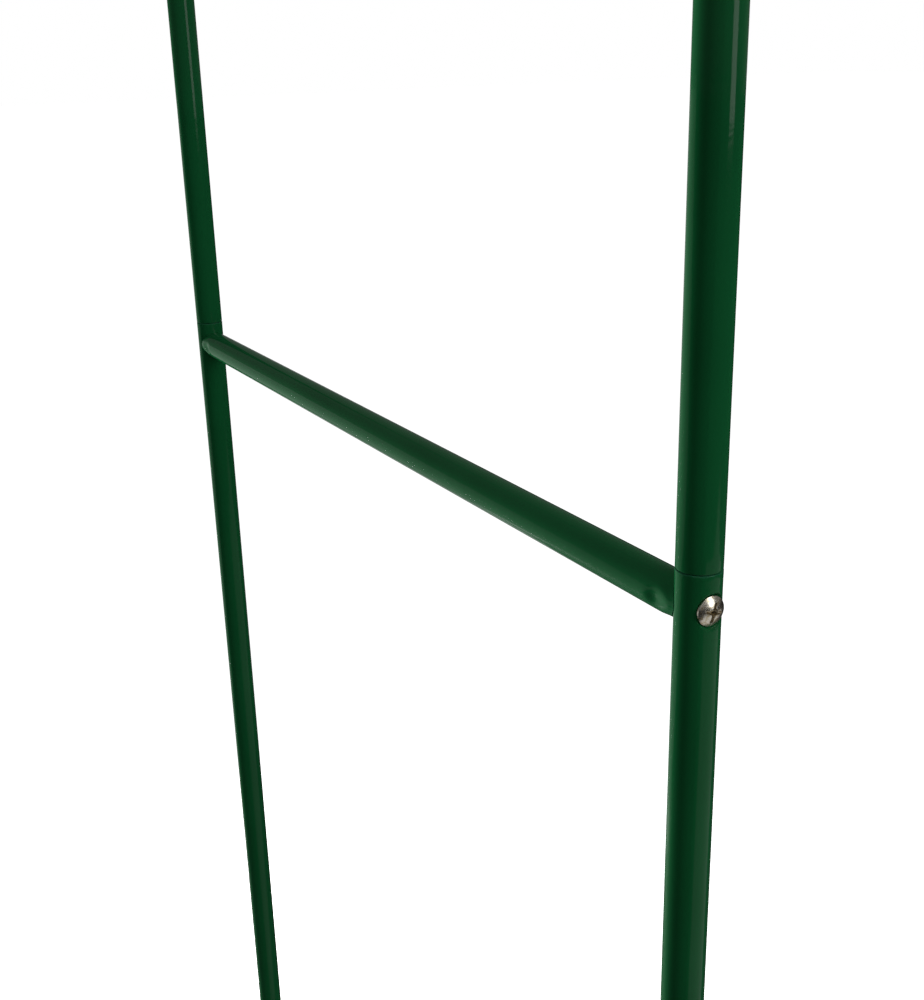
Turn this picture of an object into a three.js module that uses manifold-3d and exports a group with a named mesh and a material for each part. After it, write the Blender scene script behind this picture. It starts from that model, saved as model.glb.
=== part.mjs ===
// Metal trellis arch for climbing plants.
// Two bent tube rails stand side by side and are joined by rungs, like a ladder that goes up one
// side, over the top and down the other. Each rail is a string of plug-together tubes: the lower
// end of a tube is swaged down to a spigot, which sits inside the plain end of the tube below it.
// A machine screw goes through both tubes at every joint and into a threaded insert that is
// crimped into the end of the rung, so one screw locks the joint and holds the rung.
//
// Millimetres, +Z up. X runs across the passage, Y runs through it. The origin is on the ground,
// in the middle of the arch.

import * as THREE from 'three';
import { mergeVertices } from 'three/addons/utils/BufferGeometryUtils.js';
import Module from 'manifold-3d';

const wasm = await Module();
wasm.setup();

// ---- Driving dimensions -------------------------------------------------------------------

const archHeight = 2400; // ground to the top of the crown
const archWidth = 1400; // over the outside of the legs
const archDepth = 380; // over the outside of the two rails, without the screw heads
const legSections = 3; // straight tubes in each leg
const arcSections = 5; // bent tubes over the top of each rail, an odd number

const tubeDiameter = 12;
const tubeWall = 1;
const spigotLength = 36; // swaged length that is hidden in the tube below
const neckLength = 0.8; // open groove between the full tube and the end of the tube below
const seamAboveRung = 10; // rung axis to the end of the lower tube

const rungDiameter = 11.8;
const rungWall = 1;
const insertLength = 12; // threaded insert in each end of a rung

const screwDiameter = 4;
const screwLength = 20; // under the head
const headDiameter = 8;
const headHeight = 2.4;
const recessWidth = 1.1; // cross recess for the driver
const recessSpan = 4.8;
const recessDepth = 1.5;

const plugFlange = 3; // thickness of the foot plug under the tube
const plugStem = 16; // length of the foot plug inside the tube
const plugWall = 1.4;

const fit = 0.3; // clearance between pieces that touch

// ---- Facet counts -------------------------------------------------------------------------

const tubeSides = 12; // a multiple of four, so that corners lie on the axes
const holeSides = 8;
const screwSides = 10;

// ---- Sizes that follow --------------------------------------------------------------------

const tubeRadius = tubeDiameter / 2;
const boreRadius = tubeRadius - tubeWall;
const spigotRadius = boreRadius - fit;
const spigotBore = spigotRadius - tubeWall;
const rungRadius = rungDiameter / 2;
const screwRadius = screwDiameter / 2;
const holeRadius = screwRadius + fit;
const headRadius = headDiameter / 2;

const railY = archDepth / 2 - tubeRadius; // rail axes lie at plus and minus this
const arcRadius = archWidth / 2 - tubeRadius; // axis of the bent tubes
const springHeight = archHeight - archWidth / 2; // where the legs end and the arc begins
const legPitch = springHeight / legSections;
const sectionAngle = Math.PI / arcSections;
const seatReach = railY - tubeRadius - fit; // rung axis end, where it meets the rail

// Straight facets along one bent tube: as many as leave half a facet longer than the spigot, and
// an even number, so that one touches the arc at the very top.
const arcFacets = 2 * Math.floor( arcRadius * sectionAngle / ( 4 * spigotLength ) );
const facetAngle = sectionAngle / arcFacets;

const neckRise = tubeWall / 2; // how much higher the neck starts inside than outside
const midWall = ( tubeRadius + boreRadius ) / 2; // radius of the neck's upper end

// ---- Materials ----------------------------------------------------------------------------

const paint = new THREE.MeshStandardMaterial({ color: 0x14502e, roughness: 0.35, metalness: 0.1 });
const plating = new THREE.MeshStandardMaterial({ color: 0xb9b6a8, roughness: 0.3, metalness: 1 });
const plastic = new THREE.MeshStandardMaterial({ color: 0x1b1d1c, roughness: 0.6, metalness: 0 });

// ---- Solids -------------------------------------------------------------------------------

// A closed mesh with merged corners, ready to be joined or cut.
function solid( geometry ) {

	const bare = geometry.clone();
	bare.deleteAttribute( 'normal' );
	bare.deleteAttribute( 'uv' );
	const merged = mergeVertices( bare, 1e-4 );
	const index = merged.index.array;
	const corners = [];
	for ( let i = 0; i < index.length; i += 3 ) {

		const [ a, b, c ] = index.subarray( i, i + 3 );
		if ( a !== b && b !== c && c !== a ) corners.push( a, b, c );

	}

	return new wasm.Manifold( new wasm.Mesh( {
		numProp: 3,
		vertProperties: Float32Array.from( merged.attributes.position.array ),
		triVerts: Uint32Array.from( corners )
	} ) );

}

function surface( manifold ) {

	const mesh = manifold.getMesh();
	const geometry = new THREE.BufferGeometry();
	geometry.setAttribute( 'position', new THREE.BufferAttribute( mesh.vertProperties, 3 ) );
	geometry.setIndex( new THREE.BufferAttribute( mesh.triVerts, 1 ) );
	geometry.computeVertexNormals();
	return geometry;

}

function polygon( radius, sides ) {

	const corners = [];
	for ( let i = 0; i < sides; i ++ ) {

		const angle = 2 * Math.PI * i / sides;
		corners.push( new THREE.Vector2( radius * Math.cos( angle ), radius * Math.sin( angle ) ) );

	}

	return corners;

}

// A ring-shaped or full round section, to be extruded.
function roundSection( radius, sides, hole = 0 ) {

	const shape = new THREE.Shape( polygon( radius, sides ) );
	if ( hole > 0 ) shape.holes.push( new THREE.Path( polygon( hole, sides ) ) );
	return shape;

}

// A round bar along Z from one height to another.
function bar( radius, from, to, sides ) {

	const geometry = new THREE.ExtrudeGeometry(
		roundSection( radius, sides ), { depth: to - from, bevelEnabled: false } );
	return geometry.translate( 0, 0, from );

}

// A body turned around Z. The outline gives radius and height, and runs up the outside.
function turned( outline, sides ) {

	const points = outline.map( ( [ radius, height ] ) => new THREE.Vector2( radius, height ) );
	return new THREE.LatheGeometry( points, sides ).rotateX( Math.PI / 2 );

}

// The bend of one rail section, in the XZ plane around the origin, from X towards Z. It is made of
// straight facets that touch the true arc in their middles. The section's two ends are the
// middles of facets, so that the tube runs straight through its joints. The curve is sampled
// once for each ring of the extrusion: its two ends and the corners between the facets.
class RailBend extends THREE.Curve {

	constructor( trimStart, trimEnd ) {

		super();
		this.rings = arcFacets + 1;
		this.trimStart = trimStart;
		this.trimEnd = trimEnd;

	}

	getPointAt( u ) {

		const ring = Math.round( u * this.rings );
		if ( ring === 0 ) return onArc( this.trimStart / arcRadius, arcRadius );
		if ( ring === this.rings ) return onArc( sectionAngle - this.trimEnd / arcRadius, arcRadius );
		return onArc( ( ring - 0.5 ) * facetAngle, arcRadius / Math.cos( facetAngle / 2 ) );

	}

	getTangentAt( u ) {

		const ring = Math.round( u * this.rings );
		const angle = THREE.MathUtils.clamp( ( ring - 0.5 ) * facetAngle, 0, sectionAngle );
		return new THREE.Vector3( - Math.sin( angle ), 0, Math.cos( angle ) );

	}

}

function onArc( angle, radius ) {

	return new THREE.Vector3( radius * Math.cos( angle ), 0, radius * Math.sin( angle ) );

}

// ---- Rail tubes ---------------------------------------------------------------------------

// The hole for a joint's screw, along Y through both walls, below a seam at height 0.
function screwHole() {

	return solid( bar( holeRadius, - tubeDiameter, tubeDiameter, holeSides ).rotateX( Math.PI / 2 ) )
		.translate( [ 0, 0, - seamAboveRung ] );

}

// A straight tube with its plain upper end at the given height, standing on its foot plug.
function footTube( length ) {

	const foot = plugFlange + fit;
	const tube = turned( [
		[ boreRadius, foot ],
		[ tubeRadius, foot ],
		[ tubeRadius, length ],
		[ boreRadius, length ],
		[ boreRadius, foot ]
	], tubeSides );
	return surface( solid( tube ).subtract( screwHole().translate( [ 0, 0, length ] ) ) );

}

// A straight tube whose lower end is swaged. Its lower seam is at height 0.
function legTube( length ) {

	const tube = turned( [
		[ spigotBore, - spigotLength ],
		[ spigotRadius, - spigotLength ],
		[ spigotRadius, 0 ],
		[ midWall, neckLength ],
		[ tubeRadius, neckLength ],
		[ tubeRadius, length ],
		[ boreRadius, length ],
		[ boreRadius, neckLength + neckRise ],
		[ spigotBore, neckRise ],
		[ spigotBore, - spigotLength ]
	], tubeSides );
	const holes = screwHole().add( screwHole().translate( [ 0, 0, length ] ) );
	return surface( solid( tube ).subtract( holes ) );

}

// The swaged end of a bent tube points down from its seam at height 0. Its neck flares into the
// wall of the full tube that it is joined to, and ends inside that wall.
function swagedEnd() {

	const flare = ( midWall - spigotRadius ) / neckLength;
	const rootRadius = tubeRadius - tubeWall * 0.3;
	return solid( turned( [
		[ spigotBore, - spigotLength ],
		[ spigotRadius, - spigotLength ],
		[ spigotRadius, 0 ],
		[ rootRadius, ( rootRadius - spigotRadius ) / flare ],
		[ midWall, neckLength + 2 * neckRise ],
		[ spigotBore, neckRise ],
		[ spigotBore, - spigotLength ]
	], tubeSides ) );

}

// Moves a solid from height along a straight tube to the same place on the arc at an angle.
function ontoArc( body, angle ) {

	return body.translate( [ arcRadius, 0, 0 ] ).rotate( [ 0, - THREE.MathUtils.radToDeg( angle ), 0 ] );

}

// A bent tube around the origin, from angle 0 up. Its lower end is swaged, its upper end is plain
// or swaged. The full tube starts at the top of each neck.
function bentTube( swagedAtTop ) {

	const bend = new THREE.ExtrudeGeometry( roundSection( tubeRadius, tubeSides, boreRadius ), {
		steps: arcFacets + 1,
		bevelEnabled: false,
		extrudePath: new RailBend( neckLength, swagedAtTop ? neckLength : 0 )
	} );
	const lowerEnd = ontoArc( swagedEnd(), 0 );
	const lowerHole = ontoArc( screwHole(), 0 );
	if ( ! swagedAtTop ) {

		const upperHole = ontoArc( screwHole(), sectionAngle );
		return surface( solid( bend ).add( lowerEnd ).subtract( lowerHole.add( upperHole ) ) );

	}

	const upperEnd = ontoArc( swagedEnd().rotate( [ 180, 0, 0 ] ), sectionAngle );
	const upperHole = ontoArc( screwHole().rotate( [ 180, 0, 0 ] ), sectionAngle );
	return surface( solid( bend ).add( lowerEnd ).add( upperEnd ).subtract( lowerHole.add( upperHole ) ) );

}

// ---- Rung, screw and foot plug ------------------------------------------------------------

// A rung along Y. Each end is cut to a saddle that fits around the rail tube, and is closed by
// the threaded insert, whose hole opens into the hollow of the rung.
function rung() {

	const lay = ( geometry ) => solid( geometry.rotateX( Math.PI / 2 ) );
	const hollow = seatReach - insertLength;
	let body = lay( bar( rungRadius, - railY, railY, tubeSides ) );
	body = body.subtract( lay( bar( rungRadius - rungWall, - hollow, hollow, tubeSides ) ) );
	body = body.subtract( lay( bar( holeRadius, - railY - 1, railY + 1, holeSides ) ) );
	for ( const side of [ - 1, 1 ] ) {

		const saddle = bar( tubeRadius + fit, - tubeDiameter, tubeDiameter, tubeSides );
		body = body.subtract( solid( saddle.translate( 0, side * railY, 0 ) ) );

	}

	return surface( body );

}

// A pan-head machine screw. Height 0 is under the head, and the shank points down.
function screw() {

	const turnedScrew = turned( [
		[ 0, - screwLength ],
		[ screwRadius, - screwLength ],
		[ screwRadius, 0 ],
		[ headRadius, 0 ],
		[ headRadius, headHeight * 0.4 ],
		[ headRadius * 0.7, headHeight ],
		[ 0, headHeight ]
	], screwSides );
	const recess = () => new THREE.BoxGeometry( recessWidth, recessSpan, 2 * recessDepth )
		.translate( 0, 0, headHeight );
	const cross = solid( recess() ).add( solid( recess().rotateZ( Math.PI / 2 ) ) );
	return surface( solid( turnedScrew ).subtract( cross ) );

}

// A push-in plug with a flat foot. Height 0 is the ground.
function footPlug() {

	const stemRadius = boreRadius - fit;
	const top = plugFlange + plugStem;
	return surface( solid( turned( [
		[ 0, 0 ],
		[ tubeRadius, 0 ],
		[ tubeRadius, plugFlange ],
		[ stemRadius, plugFlange ],
		[ stemRadius, top ],
		[ stemRadius - plugWall, top ],
		[ stemRadius - plugWall, plugFlange ],
		[ 0, plugFlange ]
	], tubeSides ) ) );

}

// ---- Assembly -----------------------------------------------------------------------------

const arch = new THREE.Group();

function place( name, geometry, material, parent ) {

	const mesh = new THREE.Mesh( geometry, material );
	mesh.name = name;
	parent.add( mesh );
	return mesh;

}

const legNames = [ 'lower', 'middle', 'upper' ];
const arcNames = [ 'haunch', 'shoulder' ];
const sectionName = ( names, i ) => names[ i ] ?? `section_${ i + 1 }`;

const footTubeGeometry = footTube( legPitch );
const legTubeGeometry = legTube( legPitch );
const arcTubeGeometry = bentTube( false );
const crownTubeGeometry = bentTube( true );
const footPlugGeometry = footPlug();
const rungGeometry = rung();
const screwGeometry = screw();

// The bent tubes on each side of the crown tube.
const sideArcs = ( arcSections - 1 ) / 2;

for ( const [ row, y ] of [ [ 'front', - railY ], [ 'rear', railY ] ] ) {

	const rail = new THREE.Group();
	rail.position.y = y;
	arch.add( rail );

	const crown = place( `${ row }_crown_tube`, crownTubeGeometry, paint, rail );
	crown.position.z = springHeight;
	crown.rotation.y = - sideArcs * sectionAngle;

	for ( const [ side, turn ] of [ [ 'right', 0 ], [ 'left', Math.PI ] ] ) {

		const leg = new THREE.Group();
		leg.rotation.z = turn;
		rail.add( leg );

		const plug = place( `${ row }_${ side }_foot_plug`, footPlugGeometry, plastic, leg );
		plug.position.x = arcRadius;

		for ( let i = 0; i < legSections; i ++ ) {

			const name = `${ row }_${ side }_${ sectionName( legNames, i ) }_leg_tube`;
			const tube = place( name, i === 0 ? footTubeGeometry : legTubeGeometry, paint, leg );
			tube.position.set( arcRadius, 0, i * legPitch );

		}

		for ( let i = 0; i < sideArcs; i ++ ) {

			const name = `${ row }_${ side }_${ sectionName( arcNames, i ) }_tube`;
			const tube = place( name, arcTubeGeometry, paint, leg );
			tube.position.z = springHeight;
			tube.rotation.y = - i * sectionAngle;

		}

	}

}

// Every joint lies a little below its seam: on the legs first, then on the arc.
const joints = [];
for ( let i = 1; i <= legSections; i ++ ) {

	joints.push( {
		name: i < legSections ? sectionName( legNames, i - 1 ) : 'springing',
		x: arcRadius,
		z: i * legPitch - seamAboveRung,
		tilt: 0
	} );

}

for ( let i = 1; i <= sideArcs; i ++ ) {

	const tilt = i * sectionAngle;
	joints.push( {
		name: sectionName( arcNames, i - 1 ),
		x: arcRadius * Math.cos( tilt ) + seamAboveRung * Math.sin( tilt ),
		z: springHeight + arcRadius * Math.sin( tilt ) - seamAboveRung * Math.cos( tilt ),
		tilt
	} );

}

for ( const [ side, sign ] of [ [ 'right', 1 ], [ 'left', - 1 ] ] ) {

	for ( const joint of joints ) {

		const bar = place( `${ side }_${ joint.name }_rung`, rungGeometry, paint, arch );
		bar.position.set( sign * joint.x, 0, joint.z );
		bar.rotation.y = - sign * joint.tilt;

		for ( const [ row, out ] of [ [ 'front', - 1 ], [ 'rear', 1 ] ] ) {

			const bolt = place( `${ row }_${ side }_${ joint.name }_screw`, screwGeometry, plating, arch );
			bolt.position.set( sign * joint.x, out * ( railY + tubeRadius + fit ), joint.z );
			bolt.rotation.set( - out * Math.PI / 2, 0, 0 );

		}

	}

}

export default arch;
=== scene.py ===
import math

import bmesh
import bpy
from bpy.props import FloatProperty, FloatVectorProperty, IntProperty, PointerProperty
from mathutils import Matrix, Vector


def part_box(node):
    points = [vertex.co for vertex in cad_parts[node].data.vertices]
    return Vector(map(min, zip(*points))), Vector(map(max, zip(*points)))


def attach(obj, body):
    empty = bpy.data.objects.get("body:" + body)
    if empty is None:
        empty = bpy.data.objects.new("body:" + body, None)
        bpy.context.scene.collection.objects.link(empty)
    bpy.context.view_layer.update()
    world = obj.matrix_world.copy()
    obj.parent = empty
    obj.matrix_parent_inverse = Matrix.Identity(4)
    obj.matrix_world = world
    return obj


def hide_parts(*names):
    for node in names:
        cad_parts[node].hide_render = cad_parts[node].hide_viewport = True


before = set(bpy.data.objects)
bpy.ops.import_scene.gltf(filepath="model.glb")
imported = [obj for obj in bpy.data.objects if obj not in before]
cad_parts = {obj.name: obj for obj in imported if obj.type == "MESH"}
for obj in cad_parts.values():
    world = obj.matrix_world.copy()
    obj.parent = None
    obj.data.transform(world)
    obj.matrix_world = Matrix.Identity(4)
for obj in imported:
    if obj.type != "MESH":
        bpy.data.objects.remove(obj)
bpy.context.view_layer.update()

# A garden trellis arch of plug-together painted steel tube, held by cross-recess screws.
# Metres, +Z up. X runs across the passage and Y through it, as in the frame.

bl_info = {
    "name": "Garden trellis arch",
    "version": (1, 0, 0),
    "blender": (4, 5, 0),
    "location": "3D View > Sidebar > Trellis",
    "description": "Finished tubes, rungs, screws and foot plugs of a metal trellis arch",
    "category": "Add Mesh",
}

MM = 0.001

ROWS = ("front", "rear")
SIDES = ("right", "left")
LEG_TUBES = ("lower", "middle", "upper")
ARC_TUBES = ("haunch", "shoulder")
JOINTS = ("lower", "middle", "springing", "haunch", "shoulder")


# ---- Sizes read from the frame -----------------------------------------------------------

def span(node, axis):
    """The length of a node's box along one axis."""
    low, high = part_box(node)
    return high[axis] - low[axis]


def centre(node):
    low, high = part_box(node)
    return (low + high) / 2


TUBE_RADIUS = span("front_right_lower_leg_tube", 0) / 2
RAIL_Y = -centre("front_right_lower_leg_tube").y
ARC_RADIUS = centre("front_right_lower_leg_tube").x
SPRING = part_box("front_crown_tube")[1].z - TUBE_RADIUS - ARC_RADIUS
LEG_PITCH = SPRING / len(LEG_TUBES)
SECTION_ANGLE = math.pi / (2 * len(ARC_TUBES) + 1)
SECTION_LENGTH = SECTION_ANGLE * ARC_RADIUS
SPIGOT_LENGTH = LEG_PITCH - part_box("front_right_middle_leg_tube")[0].z
RUNG_DROP = LEG_PITCH - centre("right_lower_rung").z
RUNG_RADIUS = span("right_lower_rung", 2) / 2
FOOT_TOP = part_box("front_right_lower_leg_tube")[0].z
PLUG_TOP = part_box("front_right_foot_plug")[1].z
HEAD_RADIUS = span("front_right_lower_screw", 2) / 2
SCREW_OUT = -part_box("front_right_lower_screw")[0].y
SCREW_IN = -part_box("front_right_lower_screw")[1].y


# ---- Properties --------------------------------------------------------------------------

def length(name, description, default):
    return FloatProperty(name=name, description=description, default=default,
                         unit="LENGTH", subtype="DISTANCE", precision=5)


def colour(name, description, default):
    return FloatVectorProperty(name=name, description=description, default=default,
                               size=3, min=0, max=1, subtype="COLOR")


class TrellisSizes(bpy.types.PropertyGroup):
    wall: length("Tube wall", "Wall of every tube", 1.0 * MM)
    fit: length("Fit", "Radial clearance between a spigot and its tube", 0.3 * MM)
    slack: length("Slack", "How much thinner a tube is away from its joints", 0.05 * MM)
    groove: length("Groove", "Height of the open groove at a seam", 0.3 * MM)
    shoulder: length("Shoulder", "Rounding of the swaged shoulder", 0.4 * MM)
    lip: length("Lip", "Rounding of a plain tube end", 0.22 * MM)
    rim: length("Rim", "How far the end of a plain tube stands proud", 0.03 * MM)
    dent: length("Dent", "Depth of the flat that a tightened screw presses", 1.5 * MM)
    dent_rim: length("Dent rim", "Width of the slope around that flat", 1.0 * MM)
    squeeze: length("Squeeze", "How much a joint is flattened along its screw", 0.1 * MM)
    squeeze_reach: length("Squeeze reach", "Length of the flattened part on each side", 30 * MM)
    screw_radius: length("Screw radius", "Outside radius of the screw thread", 2.0 * MM)
    thread_pitch: length("Thread pitch", "Distance from crest to crest", 0.7 * MM)
    screw_lift: length("Screw lift", "How far a screw sits above the middle of its hole", 0.3 * MM)
    head_height: length("Head height", "Height of the domed head", 1.9 * MM)
    head_rim: length("Head rim", "Height of the head's straight side", 0.6 * MM)
    recess_span: length("Recess span", "Across the cross recess", 5.6 * MM)
    recess_width: length("Recess width", "Width of one wing of the recess", 1.15 * MM)
    recess_depth: length("Recess depth", "Depth of the cross recess", 1.7 * MM)
    insert_length: length("Insert length", "Length of the threaded insert", 12 * MM)
    crimp: length("Crimp", "Depth of the punch mark that holds the insert", 0.85 * MM)
    crimp_radius: length("Crimp radius", "Outer radius of the punch mark", 4.2 * MM)
    crimp_place: length("Crimp place", "Punch mark from the end of the rung", 6.2 * MM)
    crimp_drop: length("Crimp drop", "How far the punch mark sits below the middle", 0.9 * MM)
    around: IntProperty(name="Around", description="Segments around a tube", default=96, min=16)


class TrellisColours(bpy.types.PropertyGroup):
    paint: colour("Paint", "Powder coat", (0.0050, 0.0740, 0.0220))
    primer: colour("Primer", "What shows where the coat is thin", (0.012, 0.085, 0.040))
    plating: colour("Plating", "Zinc plating of the screws", (0.82, 0.77, 0.66))
    passivate: colour("Passivate", "Yellowish tint in the plating", (0.56, 0.47, 0.30))
    insert: colour("Insert", "Bare steel of the inserts", (0.50, 0.49, 0.46))
    plastic: colour("Plastic", "Foot plugs", (0.012, 0.013, 0.012))
    floor: colour("Floor", "Studio floor", (0.86, 0.86, 0.86))


class TrellisStudio(bpy.types.PropertyGroup):
    camera_offset: FloatVectorProperty(
        name="Camera offset", description="From the middle joint of the front right leg",
        default=(-189.51 * MM, -227.48 * MM, 130.65 * MM), unit="LENGTH", subtype="TRANSLATION")
    camera_turn: FloatProperty(name="Turn", description="View direction from +Y towards +X",
                               default=math.radians(28.63), subtype="ANGLE")
    camera_dip: FloatProperty(name="Dip", description="View direction below the horizon",
                              default=math.radians(19.288), subtype="ANGLE")
    camera_roll: FloatProperty(name="Roll", description="Clockwise lean of the camera",
                               default=math.radians(1.482), subtype="ANGLE")
    lens: FloatProperty(name="Lens", description="Focal length in millimetres", default=46.396,
                        unit="CAMERA")
    ambient: FloatProperty(name="Ambient", description="Light from all around", default=0.13, min=0)


# ---- Mesh helpers ------------------------------------------------------------------------

def smooth(t):
    t = min(max(t, 0.0), 1.0)
    return t * t * (3 - 2 * t)


def steps(start, end, pitch):
    """Evenly spaced values from start to end, no further apart than pitch."""
    count = max(1, math.ceil(abs(end - start) / pitch - 1e-6))
    return [start + (end - start) * i / count for i in range(count + 1)]


def merged(values, tolerance=0.05 * MM):
    kept = []
    for value in sorted(values):
        if not kept or value - kept[-1] > tolerance:
            kept.append(value)
    return kept


def quarter(centre_radius, centre_height, radius, start, end, count=5):
    """Points of an arc in the outline plane. Angles run from straight down, in degrees."""
    points = []
    for i in range(count + 1):
        angle = math.radians(start + (end - start) * i / count)
        points.append((centre_radius + radius * math.sin(angle),
                       centre_height - radius * math.cos(angle)))
    return points


def turn(outline, segments, closed=True):
    """A body turned around Z from an outline of (radius, height) points."""
    bm = bmesh.new()
    verts = [bm.verts.new((radius, 0, height)) for radius, height in outline]
    edges = [bm.edges.new(pair) for pair in zip(verts, verts[1:])]
    if closed:
        edges.append(bm.edges.new((verts[-1], verts[0])))
    bmesh.ops.spin(bm, geom=verts + edges, cent=(0, 0, 0), axis=(0, 0, 1),
                   angle=2 * math.pi, steps=segments, use_merge=True)
    bmesh.ops.remove_doubles(bm, verts=bm.verts, dist=0.002 * MM)
    return bm


def crowd(bm, share):
    """Draws a turned body's segments together on the side that faces -Y."""
    for vert in bm.verts:
        radius = math.hypot(vert.co.x, vert.co.y)
        angle = math.atan2(vert.co.x, -vert.co.y)
        angle -= share * math.sin(angle)
        vert.co.x = radius * math.sin(angle)
        vert.co.y = -radius * math.cos(angle)


def pierce(bm, height, radius):
    """A round hole along Y through both walls of a turned rail tube."""
    hit = []
    for face in bm.faces:
        middle = face.calc_center_median()
        across = TUBE_RADIUS * math.sin(math.atan2(middle.x, abs(middle.y)))
        if math.hypot(across, middle.z - height) < radius:
            hit.append(face)
    bmesh.ops.delete(bm, geom=hit, context="FACES")
    for side in (-1, 1):
        rim = [e for e in bm.edges if e.is_boundary and e.verts[0].co.y * side > 0]
        bmesh.ops.bridge_loops(bm, edges=rim)
        for vert in {v for e in rim for v in e.verts}:
            wall = math.hypot(vert.co.x, vert.co.y)
            angle = math.atan2(vert.co.z - height, vert.co.x)
            vert.co.x = radius * math.cos(angle)
            vert.co.z = height + radius * math.sin(angle)
            vert.co.y = side * math.sqrt(wall ** 2 - vert.co.x ** 2)


def finish(bm, name, material, node=None):
    """Makes the piece's object, in place, hangs it under the root body, and hides the frame part
    that it stands for.
    """
    bmesh.ops.remove_doubles(bm, verts=bm.verts, dist=0.001 * MM)
    bmesh.ops.recalc_face_normals(bm, faces=bm.faces)
    mesh = bpy.data.meshes.new(name)
    bm.to_mesh(mesh)
    bm.free()
    mesh.shade_smooth()
    mesh.set_sharp_from_angle(angle=math.radians(38))
    mesh.materials.append(material)
    piece = bpy.data.objects.new(name, mesh)
    bpy.context.scene.collection.objects.link(piece)
    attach(piece, "root")
    if node:
        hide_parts(node)
    return piece


# ---- Shader helpers ----------------------------------------------------------------------

class Wire:
    """A node socket that takes part in Python arithmetic. Each operation adds a Math node."""

    def __init__(self, graph, socket):
        self.graph = graph
        self.socket = socket

    def math(self, operation, *values):
        return self.graph.add("ShaderNodeMath", {"operation": operation},
                              dict(enumerate(values)))

    def __add__(self, other):
        return self.math("ADD", self, other)

    def __mul__(self, other):
        return self.math("MULTIPLY", self, other)

    __radd__ = __add__
    __rmul__ = __mul__

    def ramp(self, low, high):
        """0 below low, 1 above high, and smooth between them."""
        return self.graph.add("ShaderNodeMapRange", {"interpolation_type": "SMOOTHSTEP"},
                              {"Value": self, "From Min": low, "From Max": high})


class Finish:
    """A material's node tree, around one Principled shader."""

    def __init__(self, name):
        self.material = bpy.data.materials.new(name)
        self.material.use_nodes = True
        self.tree = self.material.node_tree
        self.tree.nodes.clear()
        self.shader = self.tree.nodes.new("ShaderNodeBsdfPrincipled")
        output = self.tree.nodes.new("ShaderNodeOutputMaterial")
        self.tree.links.new(self.shader.outputs[0], output.inputs["Surface"])
        self.place = self.add("ShaderNodeTexCoord", output="Object")

    def plug(self, node, sockets):
        """Links the wires and sets the plain values of a node's sockets."""
        for key, value in sockets.items():
            if isinstance(value, Wire):
                self.tree.links.new(value.socket, node.inputs[key])
            else:
                node.inputs[key].default_value = value

    def add(self, kind, settings=None, inputs=None, output=0):
        """A node of any kind, with its settings made first, as the wire of one output."""
        node = self.tree.nodes.new(kind)
        for key, value in (settings or {}).items():
            setattr(node, key, value)
        self.plug(node, inputs or {})
        return Wire(self, node.outputs[output])

    def noise(self, size, detail):
        """Noise from 0 to 1 whose features are about as large as size, in metres."""
        return self.add("ShaderNodeTexNoise", None,
                        {"Vector": self.place, "Scale": 1 / size, "Detail": detail})

    def blend(self, mask, first, second):
        """A colour between two colours."""
        return self.add("ShaderNodeMix", {"data_type": "RGBA"},
                        {0: mask, 6: rgba(first), 7: rgba(second)}, output=2)

    def bump(self, height, distance, normal=None):
        """A normal tilted by a height map that is distance deep."""
        inputs = {"Height": height, "Distance": distance}
        if normal:
            inputs["Normal"] = normal
        return self.add("ShaderNodeBump", None, inputs)

    def surface(self, **sockets):
        """Feeds the shader's sockets, and gives the finished material."""
        self.plug(self.shader, {k.replace("_", " "): v for k, v in sockets.items()})
        return self.material


def rgba(value):
    """A colour with its alpha. A wire is left as it is."""
    return value if isinstance(value, Wire) else (*value, 1)


# ---- Materials ---------------------------------------------------------------------------

def powder_coat(colours):
    """Dark green powder coat: glossy, with a faint orange peel, thinner on edges."""
    look = Finish("dark_green_powder_coat")
    edge = look.add("ShaderNodeAttribute", {"attribute_name": "edge"}, output="Fac")
    clouds = look.noise(60 * MM, 2.0)
    speckle = look.noise(0.9 * MM, 2.0)
    peel = look.noise(1.6 * MM, 1.0)
    waves = look.noise(9 * MM, 1.0)
    thin = (edge * 0.8 + speckle * 0.5).ramp(0.75, 1.15)
    deep = tuple(0.86 * c for c in colours.paint)
    tone = look.blend(clouds.ramp(0.3, 0.7), deep, colours.paint)
    base = look.blend(thin, tone, colours.primer)
    relief = look.bump(peel, 0.012 * MM, normal=look.bump(waves, 0.05 * MM))
    return look.surface(
        Base_Color=base,
        Roughness=0.055 + clouds * 0.04 + speckle * 0.03,
        Specular_IOR_Level=0.12,
        Normal=relief,
    )


def bright_plating(colours):
    """Bright zinc on a rolled screw: fine scuffs, duller in the recess, and darker there and on the
    shank by painted shade.
    """
    look = Finish("bright_zinc_plating")
    # On a screw the edge attribute is not wear. It marks painted shade, stronger deeper down the
    # recess, and on the shank.
    edge = look.add("ShaderNodeAttribute", {"attribute_name": "edge"}, output="Fac")
    mottle = look.noise(0.8 * MM, 3.0)
    grain = look.noise(0.5 * MM, 1.0)
    warm = look.blend(mottle.ramp(0.42, 0.66), colours.plating, colours.passivate)
    # A darker zinc colour, mixed in as painted shade.
    painted_shade_colour = tuple(0.5 * c for c in colours.passivate)
    return look.surface(
        Base_Color=look.blend(edge * 0.7, warm, painted_shade_colour),
        Metallic=1.0,
        Roughness=0.2 + mottle * 0.14 + edge * 0.12,
        Normal=look.bump(grain, 0.005 * MM),
    )


def bare_steel(colours):
    """Turned steel of the threaded inserts."""
    look = Finish("turned_steel")
    mottle = look.noise(1.5 * MM, 3.0)
    grain = look.noise(0.2 * MM, 2.0)
    dark = tuple(0.6 * c for c in colours.insert)
    return look.surface(
        Base_Color=look.blend(mottle, dark, colours.insert),
        Metallic=1.0,
        Roughness=0.3 + mottle * 0.2,
        Normal=look.bump(grain, 0.01 * MM),
    )


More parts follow.
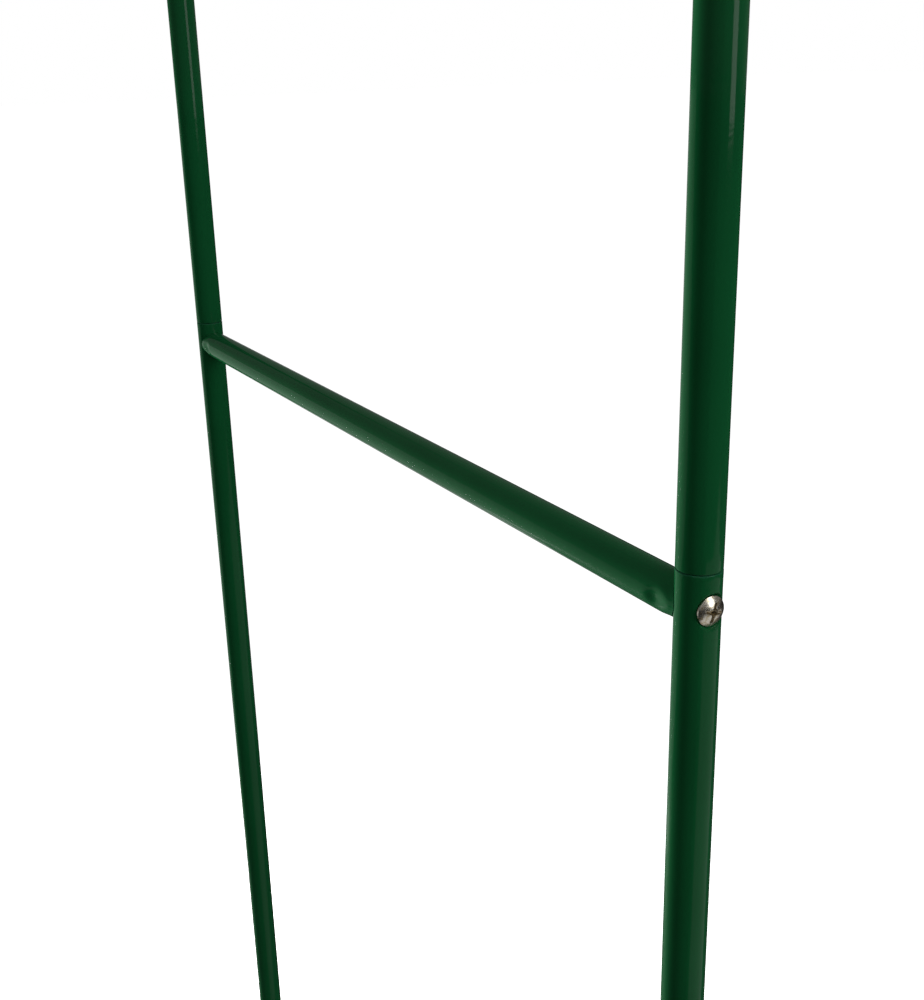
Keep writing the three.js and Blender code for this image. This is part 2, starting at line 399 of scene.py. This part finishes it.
def moulded_plastic(colours):
    """Black moulded plastic with a fine spark texture."""
    look = Finish("black_moulded_plastic")
    mottle = look.noise(4 * MM, 2.0)
    spark = look.noise(0.35 * MM, 2.0)
    dusty = tuple(c * 1.8 + 0.01 for c in colours.plastic)
    return look.surface(
        Base_Color=look.blend(mottle.ramp(0.45, 0.8), colours.plastic, dusty),
        Roughness=0.5 + spark * 0.2,
        Normal=look.bump(spark, 0.02 * MM),
    )


def material(name):
    """The named finish, made when it is first asked for."""
    makers = {
        "dark_green_powder_coat": powder_coat,
        "bright_zinc_plating": bright_plating,
        "turned_steel": bare_steel,
        "black_moulded_plastic": moulded_plastic,
    }
    found = bpy.data.materials.get(name)
    return found or makers[name](bpy.context.scene.trellis_colours)


# ---- Rail tubes --------------------------------------------------------------------------

def joint_bell(height, sizes):
    """1 at a joint's screw, 0 where the squeezed part of a tube ends."""
    return 1 - smooth(abs(height) / sizes.squeeze_reach)


def dent_depth(across, height, sizes):
    """How far the wall is pressed in at a place seen along the screw's axis."""
    surface = math.sqrt(max(0.0, TUBE_RADIUS ** 2 - across ** 2))
    slope = (math.hypot(across, height) - HEAD_RADIUS) / sizes.dent_rim
    flat = TUBE_RADIUS - sizes.dent * (1 - smooth(slope))
    return max(0.0, surface - flat)


def tube_outline(low, high, swaged_low, swaged_high, joints, sizes):
    """The outline of a straight blank: up the outside, over the end, and down the bore."""
    outer = TUBE_RADIUS - sizes.slack
    bore = TUBE_RADIUS - sizes.wall
    spigot = bore - sizes.fit
    spigot_bore = spigot - sizes.wall
    chamfer = 0.25 * MM
    corner = 0.2 * MM
    end_stretch = 2.6 * MM  # the part at each end that has its own points
    dent_reach = 1.5 * HEAD_RADIUS
    levels = []
    for joint in joints:
        levels += steps(joint - dent_reach, joint + dent_reach, 0.28 * MM)
        levels += steps(joint - sizes.squeeze_reach, joint + sizes.squeeze_reach, 3 * MM)
    levels = merged(levels + steps(low, high, 12 * MM), 0.2 * MM)

    def wall(radius, start, end):
        return [(radius, z) for z in levels if start < z < end]

    def neck(seam, up):
        """The spigot, its groove and the rolled shoulder, from the tip to the full tube."""
        tip = seam - up * SPIGOT_LENGTH
        shoulder = sizes.shoulder
        points = [(spigot_bore + chamfer, tip), (spigot - chamfer, tip),
                  (spigot, tip + up * chamfer)]
        points += wall(spigot, *sorted((tip + up * 2 * chamfer, seam - up * corner)))[::up]
        points += [(spigot, seam)]
        roll = quarter(outer - shoulder, sizes.groove + shoulder * 0.6, shoulder, 10, 90)
        points += [(radius, seam + up * height) for radius, height in roll]
        return points

    def throat(seam, up):
        """The same part of the bore, from the full tube down to the tip."""
        tip = seam - up * SPIGOT_LENGTH
        points = [(bore, seam + up * 2.2 * MM), (bore - corner, seam + up * 1.6 * MM),
                  (spigot_bore, seam + up * 0.4 * MM)]
        return points + wall(spigot_bore, *sorted((tip + up * 0.3 * MM, seam)))[::-up]

    def plain_end(end):
        """The outer corner, the cut face and the inner corner of the plain upper end."""
        lip = sizes.lip
        edge = outer + sizes.rim
        points = [(outer, end - 2.4 * MM), (edge, end - 1.2 * MM)]
        points += [(radius, end - lip + height)
                   for radius, height in quarter(edge - lip, 0, lip, 90, 180, 4)]
        return points + [(bore + lip, end), (bore, end - lip)]

    if swaged_low:
        outline = neck(low, 1)
    else:
        outline = [(bore, low + corner), (bore + corner, low), (outer - corner, low),
                   (outer, low + corner)]
    outline += wall(outer, low + end_stretch, high - end_stretch)
    if swaged_high:
        outline += neck(high, -1)[::-1]
        outline += throat(high, -1)[::-1]
    else:
        outline += plain_end(high)
    outline += wall(bore, low + end_stretch, high - end_stretch)[::-1]
    if swaged_low:
        outline += throat(low, 1)
    return outline


def tube_blank(low, high, swaged_low, swaged_high, sizes):
    """A straight tube along Z with holes, dents and squeezed joints. Its outer side is -Y."""
    joints = [low - RUNG_DROP] if swaged_low else []
    joints.append(high + RUNG_DROP if swaged_high else high - RUNG_DROP)
    bm = turn(tube_outline(low, high, swaged_low, swaged_high, joints, sizes), sizes.around)
    crowd(bm, share=0.5)
    for joint in joints:
        pierce(bm, joint, sizes.screw_radius + sizes.fit)
    worn = 1.2 * MM  # how far from an end the coat is thin
    edge = bm.verts.layers.float.new("edge")
    for vert in bm.verts:
        height = vert.co.z
        radius = math.hypot(vert.co.x, vert.co.y)
        near = max(joint_bell(height - joint, sizes) for joint in joints)
        outside = radius > TUBE_RADIUS - sizes.wall - sizes.fit / 2
        if outside:
            vert.co.x *= 1 + near * (sizes.slack - sizes.rim) / TUBE_RADIUS
            vert.co.y *= 1 - near * sizes.squeeze / TUBE_RADIUS
        if vert.co.y < 0:
            heads = [height - joint - sizes.screw_lift for joint in joints]
            vert.co.y += max(dent_depth(vert.co.x, head, sizes) for head in heads)
        vert[edge] = 1 - smooth(min(abs(height - low), abs(height - high)) / worn)
    return bm


def bend(point, base):
    """Moves a point of a straight blank onto the rail. Base is the blank's place along it."""
    along = base + point.z
    if along <= SPRING:
        return Vector((ARC_RADIUS + point.x, point.y, along))
    angle = (along - SPRING) / ARC_RADIUS
    reach = ARC_RADIUS + point.x
    return Vector((reach * math.cos(angle), point.y, SPRING + reach * math.sin(angle)))


def lay_on_rail(blank, base, row, side):
    """A copy of a blank, bent to the rail and mirrored to its row and side."""
    bm = blank.copy()
    for vert in bm.verts:
        vert.co = bend(vert.co, base)
    bmesh.ops.translate(bm, verts=bm.verts, vec=(0, -RAIL_Y, 0))
    mirror = (-1 if side == "left" else 1, -1 if row == "rear" else 1, 1)
    bmesh.ops.scale(bm, verts=bm.verts, vec=mirror)
    return bm


def tube_piece(blank, base, row, side, node):
    """A finished tube of one rail, from its straight blank."""
    bm = lay_on_rail(blank, base, row, side)
    return finish(bm, node + "_finished",
                  material("dark_green_powder_coat"), node)


class TRELLIS_OT_leg_tubes(bpy.types.Operator):
    """Make the straight tubes of the four legs"""
    bl_idname = "trellis.leg_tubes"
    bl_label = "Leg tubes"

    def execute(self, context):
        sizes = context.scene.trellis_sizes
        foot = tube_blank(FOOT_TOP, LEG_PITCH, False, False, sizes)
        leg = tube_blank(0, LEG_PITCH, True, False, sizes)
        for row in ROWS:
            for side in SIDES:
                for i, name in enumerate(LEG_TUBES):
                    node = f"{row}_{side}_{name}_leg_tube"
                    tube_piece(leg if i else foot, i * LEG_PITCH, row, side, node)
        foot.free()
        leg.free()
        return {"FINISHED"}


class TRELLIS_OT_arc_tubes(bpy.types.Operator):
    """Make the bent tubes over the top of both rails"""
    bl_idname = "trellis.arc_tubes"
    bl_label = "Arc tubes"

    def execute(self, context):
        sizes = context.scene.trellis_sizes
        blank = tube_blank(0, SECTION_LENGTH, True, False, sizes)
        crown = tube_blank(0, SECTION_LENGTH, True, True, sizes)
        for row in ROWS:
            for side in SIDES:
                for i, name in enumerate(ARC_TUBES):
                    node = f"{row}_{side}_{name}_tube"
                    tube_piece(blank, SPRING + i * SECTION_LENGTH, row, side, node)
            base = SPRING + len(ARC_TUBES) * SECTION_LENGTH
            tube_piece(crown, base, row, "right", f"{row}_crown_tube")
        blank.free()
        crown.free()
        return {"FINISHED"}


# ---- Joints ------------------------------------------------------------------------------

def joint_place(name):
    """Where a joint's rung axis crosses the rail plane on the right side, and its tilt."""
    along = (JOINTS.index(name) + 1) * LEG_PITCH - RUNG_DROP
    if name in ARC_TUBES:
        along = SPRING + (ARC_TUBES.index(name) + 1) * SECTION_LENGTH - RUNG_DROP
    tilt = max(0.0, (along - SPRING) / ARC_RADIUS)
    return bend(Vector((0, 0, 0)), along), tilt


def to_joint(bm, name, side):
    """Moves a piece that was made at the origin, with the rail along Z, to its joint."""
    place, tilt = joint_place(name)
    bmesh.ops.rotate(bm, verts=bm.verts, cent=(0, 0, 0), matrix=Matrix.Rotation(-tilt, 3, "Y"))
    bmesh.ops.translate(bm, verts=bm.verts, vec=place)
    if side == "left":
        bmesh.ops.scale(bm, verts=bm.verts, vec=(-1, 1, 1))


# ---- Rungs -------------------------------------------------------------------------------

def rung_blank(sizes):
    """A rung along Y between the rails, with saddle ends and punch marks."""
    bore = RUNG_RADIUS - sizes.wall
    gap = 0.06 * MM  # between the saddle and the rail
    end = RAIL_Y - TUBE_RADIUS - gap
    lip = 0.15 * MM
    shaped = 22 * MM  # the stretch at each end that is worked
    pinched = 5.5 * MM
    saddle_reach = 18 * MM
    worn = 0.8 * MM
    levels = steps(0, end - shaped, 20 * MM) + steps(end - shaped, end - 0.4 * MM, 0.8 * MM)
    levels = merged([-z for z in levels] + levels)
    outline = [(bore + lip, -end), (RUNG_RADIUS - lip, -end), (RUNG_RADIUS, -end + lip)]
    outline += [(RUNG_RADIUS, z) for z in levels]
    outline += [(RUNG_RADIUS, end - lip), (RUNG_RADIUS - lip, end), (bore + lip, end)]
    outline += [(bore, end - lip)]
    outline += [(bore, z) for z in levels[::-1]]
    outline += [(bore, -end + lip)]
    bm = turn(outline, sizes.around)
    edge = bm.verts.layers.float.new("edge")
    for vert in bm.verts:
        from_end = end - abs(vert.co.z)
        # The ends are pinched a little, and a punch mark on each side holds the insert.
        pinch = 1 - 0.06 * (1 - smooth(from_end / pinched))
        mark = math.hypot(vert.co.y + sizes.crimp_drop, from_end - sizes.crimp_place)
        dent = sizes.crimp * (1 - smooth(mark / sizes.crimp_radius))
        radius = math.hypot(vert.co.x, vert.co.y)
        scale = pinch * (1 - dent / radius)
        vert.co.x *= scale
        vert.co.y *= scale
        # The saddle: the end ring follows the rail tube, and the rings behind it less and less.
        depth = TUBE_RADIUS - math.sqrt(max(0.0, TUBE_RADIUS ** 2 - vert.co.x ** 2))
        share = 1 - smooth(from_end / saddle_reach)
        vert.co.z += math.copysign(depth * share, vert.co.z)
        vert[edge] = 1 - smooth(from_end / worn)
    bmesh.ops.rotate(bm, verts=bm.verts, cent=(0, 0, 0),
                     matrix=Matrix.Rotation(math.pi / 2, 3, "X"))
    return bm


class TRELLIS_OT_rungs(bpy.types.Operator):
    """Make the rungs between the two rails"""
    bl_idname = "trellis.rungs"
    bl_label = "Rungs"

    def execute(self, context):
        blank = rung_blank(context.scene.trellis_sizes)
        for side in SIDES:
            for name in JOINTS:
                node = f"{side}_{name}_rung"
                bm = blank.copy()
                to_joint(bm, name, side)
                finish(bm, node + "_finished",
                       material("dark_green_powder_coat"), node)
        blank.free()
        return {"FINISHED"}


def insert_blank(sizes):
    """A threaded insert with a turned waist, made along Y just behind the front saddle."""
    radius = (RUNG_RADIUS - sizes.wall) * 0.93
    hole = sizes.screw_radius + 0.12 * MM
    chamfer = 0.4 * MM
    set_back = 1.5 * MM
    first = RAIL_Y - TUBE_RADIUS - set_back
    last = first - sizes.insert_length
    outline = [(hole, last), (radius - chamfer, last), (radius, last + chamfer)]
    waist = (first + last) / 2
    for height, inset in ((-2.0, 0), (-1.4, 0.6), (1.4, 0.6), (2.0, 0)):
        outline.append((radius - inset * MM, waist + height * MM))
    outline += [(radius, first - chamfer), (radius - chamfer, first), (hole, first)]
    bm = turn(outline, 32)
    bmesh.ops.rotate(bm, verts=bm.verts, cent=(0, 0, 0),
                     matrix=Matrix.Rotation(math.pi / 2, 3, "X"))
    return bm


class TRELLIS_OT_inserts(bpy.types.Operator):
    """Make the threaded inserts in the ends of the rungs"""
    bl_idname = "trellis.inserts"
    bl_label = "Threaded inserts"

    def execute(self, context):
        sizes = context.scene.trellis_sizes
        blank = insert_blank(sizes)
        for side in SIDES:
            for name in JOINTS:
                for row in ROWS:
                    bm = blank.copy()
                    bmesh.ops.translate(bm, verts=bm.verts, vec=(0, 0, sizes.screw_lift))
                    if row == "rear":
                        bmesh.ops.scale(bm, verts=bm.verts, vec=(1, -1, 1))
                    to_joint(bm, name, side)
                    finish(bm, f"{row}_{side}_{name}_insert",
                           material("turned_steel"))
        blank.free()
        return {"FINISHED"}


# ---- Screws ------------------------------------------------------------------------------

def cross_outline(sizes):
    """Corners of a cross recess at the surface, anticlockwise, with blunt wing tips."""
    reach = sizes.recess_span / 2
    half = sizes.recess_width / 2
    blunt = half * 0.55
    throat = half * 1.15
    quarter_turn = [(reach, -blunt), (reach + 0.12 * MM, 0), (reach, blunt),
                    (half * 2, half), (throat, throat), (half, half * 2)]
    corners = []
    for i in range(4):
        spin = Matrix.Rotation(i * math.pi / 2, 2)
        corners += [spin @ Vector(corner) for corner in quarter_turn]
    return corners


def dome(radius, sizes):
    """Height of the head's top over its underside."""
    roundness = 2.3  # 2 is a parabola, and more is flatter in the middle
    share = min(radius / HEAD_RADIUS, 1)
    rise = sizes.head_height - sizes.head_rim
    return sizes.head_rim + rise * (1 - share ** roundness)


def screw_blank(sizes):
    """A pan-head screw with its axis along Z, head up, and its seat at height 0."""
    bm = bmesh.new()
    # On a screw the edge layer holds painted shade, not wear. The material darkens the zinc where
    # it is high.
    edge = bm.verts.layers.float.new("edge")
    corners = [bm.verts.new((*corner, dome(corner.length, sizes)))
               for corner in cross_outline(sizes)]
    opening = bm.faces.new(corners)
    mouth = list(opening.edges)

    # The crown of the head, from the recess out to where the side begins to roll over.
    ring = bmesh.ops.create_circle(bm, segments=len(corners), radius=HEAD_RADIUS * 0.86)["verts"]
    first_corner = math.atan2(-1, 8)  # about where the first corner of the recess is
    bmesh.ops.rotate(bm, verts=ring, cent=(0, 0, 0),
                     matrix=Matrix.Rotation(first_corner, 3, "Z"))
    rim = [e for e in bm.edges if e.verts[0] in ring and e.verts[1] in ring]
    crown = bmesh.ops.bridge_loops(bm, edges=mouth + rim)["edges"]
    bmesh.ops.subdivide_edges(bm, edges=crown, cuts=4)
    for vert in bm.verts:
        vert.co.z = dome(math.hypot(vert.co.x, vert.co.y), sizes)

    # The recess narrows downwards to a small cross and then to a point.
    floor = opening
    for drop, shrink in ((0.12, 0.93), (0.45, 0.84), (0.75, 0.66), (1.0, 0.42)):
        bmesh.ops.inset_individual(bm, faces=[floor], thickness=0)
        verts = list(floor.verts)
        reach = max(math.hypot(v.co.x, v.co.y) for v in verts)
        scale = sizes.recess_span / 2 * shrink / reach
        bmesh.ops.scale(bm, verts=verts, vec=(scale, scale, 1))
        level = sizes.head_height - sizes.recess_depth * drop
        for vert in verts:
            vert.co.z = level
            # Painted shade: the recess is marked darker the deeper it goes.
            vert[edge] = 0.35 + 0.65 * drop

    # The side of the head, its underside, and a shank with rolled threads.
    outline = []
    for share in (0.90, 0.94, 0.97, 0.99, 1.0):
        outline.append((HEAD_RADIUS * share, dome(HEAD_RADIUS * share, sizes)))
    corner = 0.12 * MM
    outline += [(HEAD_RADIUS, corner), (HEAD_RADIUS - corner, 0)]
    outline.append((sizes.screw_radius + 0.2 * MM, 0))
    reach = SCREW_OUT - SCREW_IN - sizes.head_height
    thread_depth = 0.55 * sizes.thread_pitch
    root = sizes.screw_radius - thread_depth
    level = 0.6 * MM  # the plain neck under the head
    while level < reach - 1.2 * sizes.thread_pitch:
        for radius, share in ((root, 0.15), (sizes.screw_radius, 0.45),
                              (sizes.screw_radius, 0.58), (root, 0.88)):
            outline.append((radius, -level - share * sizes.thread_pitch))
        level += sizes.thread_pitch
    outline += [(root, 0.3 * MM - reach), (root * 0.7, -reach)]
    loop = [e for e in bm.edges if e.is_boundary]
    for radius, height in outline:
        grown = bmesh.ops.extrude_edge_only(bm, edges=loop)["geom"]
        verts = [g for g in grown if isinstance(g, bmesh.types.BMVert)]
        loop = [g for g in grown if isinstance(g, bmesh.types.BMEdge)]
        scale = radius / math.hypot(verts[0].co.x, verts[0].co.y)
        bmesh.ops.scale(bm, verts=verts, vec=(scale, scale, 1))
        for vert in verts:
            vert.co.z = height
            # Painted shade on the shank, at half strength.
            vert[edge] = 0.5 if height < 0 else 0
    bmesh.ops.contextual_create(bm, geom=loop)
    return bm


class TRELLIS_OT_screws(bpy.types.Operator):
    """Make the pan-head screws at the ends of the rungs"""
    bl_idname = "trellis.screws"
    bl_label = "Screws"

    def execute(self, context):
        sizes = context.scene.trellis_sizes
        blank = screw_blank(sizes)
        gap = 0.03 * MM  # between the head and its flat
        seat = RAIL_Y + TUBE_RADIUS - sizes.dent + gap
        count = 0
        for side in SIDES:
            for name in JOINTS:
                for row in ROWS:
                    # Each screw stops at its own angle; the golden angle spreads them.
                    turned = math.radians(73 + 137.5 * count)
                    count += 1
                    bm = blank.copy()
                    bmesh.ops.rotate(bm, verts=bm.verts, cent=(0, 0, 0),
                                     matrix=Matrix.Rotation(turned, 3, "Z"))
                    bmesh.ops.rotate(bm, verts=bm.verts, cent=(0, 0, 0),
                                     matrix=Matrix.Rotation(math.pi / 2, 3, "X"))
                    bmesh.ops.translate(bm, verts=bm.verts, vec=(0, -seat, sizes.screw_lift))
                    if row == "rear":
                        bmesh.ops.scale(bm, verts=bm.verts, vec=(1, -1, 1))
                    to_joint(bm, name, side)
                    node = f"{row}_{side}_{name}_screw"
                    finish(bm, node + "_finished",
                           material("bright_zinc_plating"), node)
        blank.free()
        return {"FINISHED"}


# ---- Foot plugs --------------------------------------------------------------------------

class TRELLIS_OT_foot_plugs(bpy.types.Operator):
    """Make the push-in plugs under the legs"""
    bl_idname = "trellis.foot_plugs"
    bl_label = "Foot plugs"

    def execute(self, context):
        sizes = context.scene.trellis_sizes
        flange = FOOT_TOP - 0.05 * MM
        stem = TUBE_RADIUS - sizes.wall - sizes.fit
        hollow = stem - 1.4 * MM
        heel = 0.6 * MM
        brim = 0.3 * MM
        outline = [(0, 0), (TUBE_RADIUS * 0.8, 0)]
        outline += quarter(TUBE_RADIUS - heel, heel, heel, 0, 90)
        outline += quarter(TUBE_RADIUS - brim, flange - brim, brim, 90, 180, 3)
        outline.append((stem, flange))
        ribs = 3
        pitch = (PLUG_TOP - flange) / (ribs + 1)
        for i in range(ribs):
            level = flange + (i + 0.6) * pitch
            outline += [(stem, level), (stem + sizes.fit * 0.8, level + 0.2 * MM),
                        (stem, level + 1.4 * MM)]
        outline += [(stem, PLUG_TOP - 0.5 * MM), (stem - 0.5 * MM, PLUG_TOP),
                    (hollow, PLUG_TOP), (hollow, flange), (0, flange)]
        for row in ROWS:
            for side in SIDES:
                bm = turn(outline, 48, closed=False)
                across = ARC_RADIUS if side == "right" else -ARC_RADIUS
                along = RAIL_Y if row == "rear" else -RAIL_Y
                bmesh.ops.translate(bm, verts=bm.verts, vec=(across, along, 0))
                node = f"{row}_{side}_foot_plug"
                finish(bm, node + "_finished",
                       material("black_moulded_plastic"), node)
        return {"FINISHED"}


# ---- Studio ------------------------------------------------------------------------------

# Name, place from the middle joint, what it faces, width, height, watts, seen in the gloss.
SOFTBOXES = (
    ("key", (0.62, -1.30, 0.75), (-0.62, 1.30, 0), 0.6, 1.45, 10, True),
    ("key_fill", (0.62, -1.30, 0.75), (-0.62, 1.30, 0), 0.6, 1.45, 11, False),
    ("paper_behind", (-0.7, 2.65, -0.55), (0, -0.43, 0.90), 5.0, 2.55, 15, True),
    ("low_bounce", (-0.52, 1.75, -0.78), (0.52, -1.75, 0.78), 1.0, 0.7, 105, False),
    ("ceiling", (-0.3, 0.5, 1.9), (0.3, -0.5, -1.9), 2.4, 2.4, 14, False),
    ("front_card", (1.1, -1.3, -1.05), (0, 0, 1), 2.6, 2.0, 8, True),
    ("front_left", (-1.46, -1.36, 1.1), (1.46, 1.36, -1.1), 1.3, 1.1, 6, True),
)


def softbox(joint, name, place, facing, width, height, watts, glossy):
    """A rectangular light that the camera doesn't see."""
    light = bpy.data.lights.new(name, "AREA")
    light.shape = "RECTANGLE"
    light.size = width
    light.size_y = height
    light.energy = watts
    lamp = bpy.data.objects.new(name, light)
    lamp.location = joint + Vector(place)
    lamp.rotation_euler = Vector(facing).to_track_quat("-Z", "Y").to_euler()
    lamp.visible_camera = False
    lamp.visible_glossy = glossy
    bpy.context.scene.collection.objects.link(lamp)


def camera_switch(tree, output, others, camera):
    """Ends a node tree in one shader that the camera sees and another for all other rays."""
    seen = tree.nodes.new("ShaderNodeLightPath")
    mix = tree.nodes.new("ShaderNodeMixShader")
    tree.links.new(seen.outputs["Is Camera Ray"], mix.inputs[0])
    tree.links.new(others.outputs[0], mix.inputs[1])
    tree.links.new(camera.outputs[0], mix.inputs[2])
    tree.links.new(mix.outputs[0], tree.nodes.new(output).inputs["Surface"])


def stage_floor(colours):
    """A wide pale floor. It looks white, and is greyer in what the gloss reflects."""
    bm = bmesh.new()
    bmesh.ops.create_grid(bm, x_segments=1, y_segments=1, size=40)
    mesh = bpy.data.meshes.new("studio_floor")
    bm.to_mesh(mesh)
    bm.free()
    floor = bpy.data.objects.new("studio_floor", mesh)
    floor.location.z = -0.5 * MM
    bpy.context.scene.collection.objects.link(floor)
    paper = bpy.data.materials.new("pale_paper")
    paper.use_nodes = True
    tree = paper.node_tree
    tree.nodes.clear()
    plain = tree.nodes.new("ShaderNodeBsdfDiffuse")
    plain.inputs["Color"].default_value = (0.05, 0.05, 0.05, 1)
    lit = tree.nodes.new("ShaderNodeBsdfPrincipled")
    lit.inputs["Base Color"].default_value = rgba(colours.floor)
    lit.inputs["Roughness"].default_value = 0.9
    lit.inputs["Emission Color"].default_value = (1, 1, 1, 1)
    lit.inputs["Emission Strength"].default_value = 0.94
    camera_switch(tree, "ShaderNodeOutputMaterial", plain, lit)
    mesh.materials.append(paper)


def stage_world(ambient):
    """White where the camera looks, and a soft grey as a source of light."""
    world = bpy.data.worlds.new("studio_world")
    bpy.context.scene.world = world
    world.use_nodes = True
    tree = world.node_tree
    tree.nodes.clear()
    soft = tree.nodes.new("ShaderNodeBackground")
    white = tree.nodes.new("ShaderNodeBackground")
    for light in (soft, white):
        light.inputs["Color"].default_value = (1, 1, 1, 1)
    soft.inputs["Strength"].default_value = ambient
    camera_switch(tree, "ShaderNodeOutputWorld", soft, white)


def stage_camera(studio, joint):
    """A plain camera that looks down at the joint from its inner side."""
    lens = bpy.data.cameras.new("camera")
    lens.lens = studio.lens
    lens.clip_start = 0.01
    camera = bpy.data.objects.new("camera", lens)
    facing = (Matrix.Rotation(-studio.camera_turn, 4, "Z")
              @ Matrix.Rotation(math.pi / 2 - studio.camera_dip, 4, "X")
              @ Matrix.Rotation(-studio.camera_roll, 4, "Z"))
    camera.matrix_world = Matrix.Translation(joint + Vector(studio.camera_offset)) @ facing
    bpy.context.scene.collection.objects.link(camera)
    bpy.context.scene.camera = camera


class TRELLIS_OT_stage(bpy.types.Operator):
    """Set up the floor, the lights, the world and the camera"""
    bl_idname = "trellis.stage"
    bl_label = "Stage"

    def execute(self, context):
        scene = context.scene
        studio = scene.trellis_studio
        joint = joint_place("middle")[0] - Vector((0, RAIL_Y, 0))
        stage_floor(scene.trellis_colours)
        stage_world(studio.ambient)
        for lamp in SOFTBOXES:
            softbox(joint, *lamp)
        stage_camera(studio, joint)
        scene.view_settings.view_transform = "Standard"
        return {"FINISHED"}


# ---- Panel and registration --------------------------------------------------------------

OPERATORS = (
    TRELLIS_OT_stage,
    TRELLIS_OT_leg_tubes,
    TRELLIS_OT_arc_tubes,
    TRELLIS_OT_rungs,
    TRELLIS_OT_inserts,
    TRELLIS_OT_screws,
    TRELLIS_OT_foot_plugs,
)


class TRELLIS_PT_arch(bpy.types.Panel):
    """The arch's sizes, colours and pieces"""
    bl_idname = "TRELLIS_PT_arch"
    bl_label = "Trellis arch"
    bl_space_type = "VIEW_3D"
    bl_region_type = "UI"
    bl_category = "Trellis"

    def draw(self, context):
        scene = context.scene
        for group in (scene.trellis_sizes, scene.trellis_colours, scene.trellis_studio):
            for name in group.bl_rna.properties.keys():
                if name not in ("rna_type", "name"):
                    self.layout.prop(group, name)
        for operator in OPERATORS:
            self.layout.operator(operator.bl_idname)


CLASSES = (TrellisSizes, TrellisColours, TrellisStudio, *OPERATORS, TRELLIS_PT_arch)


def register():
    for each in CLASSES:
        bpy.utils.register_class(each)
    bpy.types.Scene.trellis_sizes = PointerProperty(type=TrellisSizes)
    bpy.types.Scene.trellis_colours = PointerProperty(type=TrellisColours)
    bpy.types.Scene.trellis_studio = PointerProperty(type=TrellisStudio)


def unregister():
    del bpy.types.Scene.trellis_studio
    del bpy.types.Scene.trellis_colours
    del bpy.types.Scene.trellis_sizes
    for each in reversed(CLASSES):
        bpy.utils.unregister_class(each)


def main():
    register()
    for operator in OPERATORS:
        group, name = operator.bl_idname.split(".")
        getattr(getattr(bpy.ops, group), name)()


if __name__ == "__main__":
    main()
